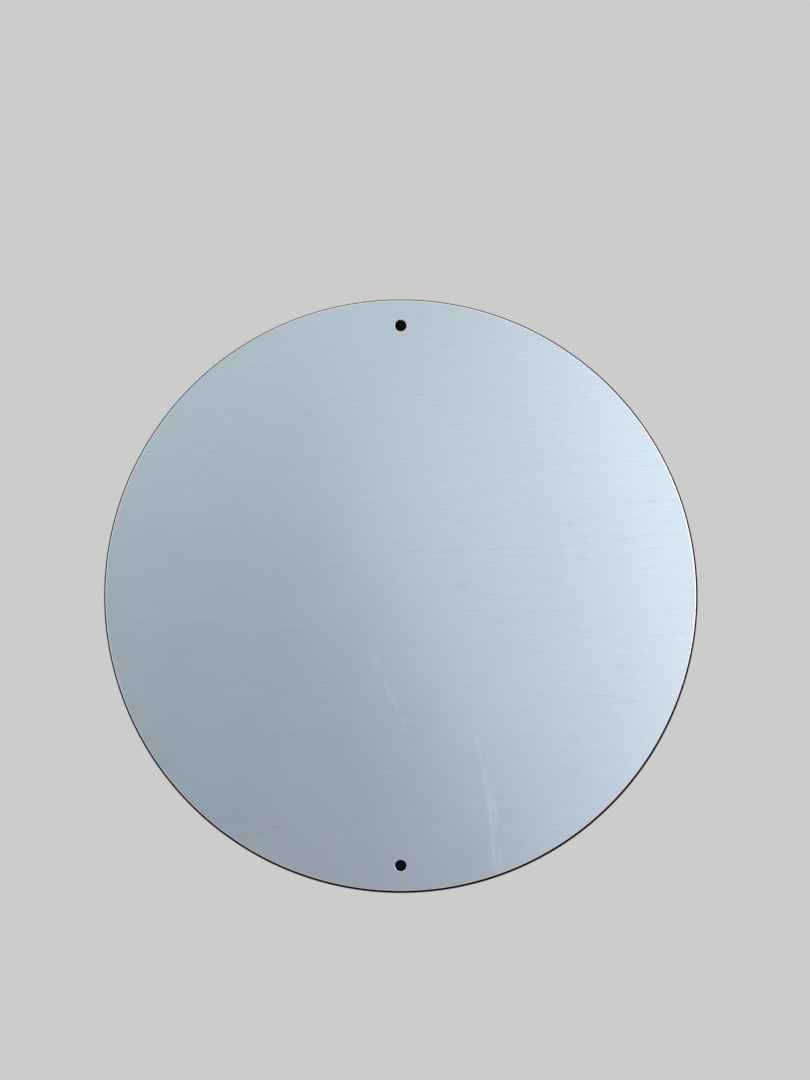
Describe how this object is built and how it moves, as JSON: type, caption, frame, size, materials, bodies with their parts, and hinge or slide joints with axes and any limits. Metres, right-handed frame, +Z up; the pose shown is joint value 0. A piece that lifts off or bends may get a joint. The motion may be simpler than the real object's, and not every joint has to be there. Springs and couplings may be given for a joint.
{
  "type": "round sign plate",
  "caption": "Flat round sign plate of brushed aluminium sheet, bare on both faces, with a fixing hole near its top edge and another near its bottom edge.",
  "frame": {"origin": "centre of the plate's back face, midway between the two fixing holes", "axes": "+Z up as the plate hangs, -Y out of its front face, +Y out of its back face into the wall or post, +X to the right when it is seen from the front"},
  "size_m": [0.3048, 0.001, 0.3048],
  "materials": {
    "brushed_aluminium": "bare aluminium sheet, brushed in straight horizontal lines, cool light grey, with a few faint scuffs"
  },
  "bodies": {
    "root": {"sign_plate": "brushed_aluminium"}
  },
  "joints": []
}
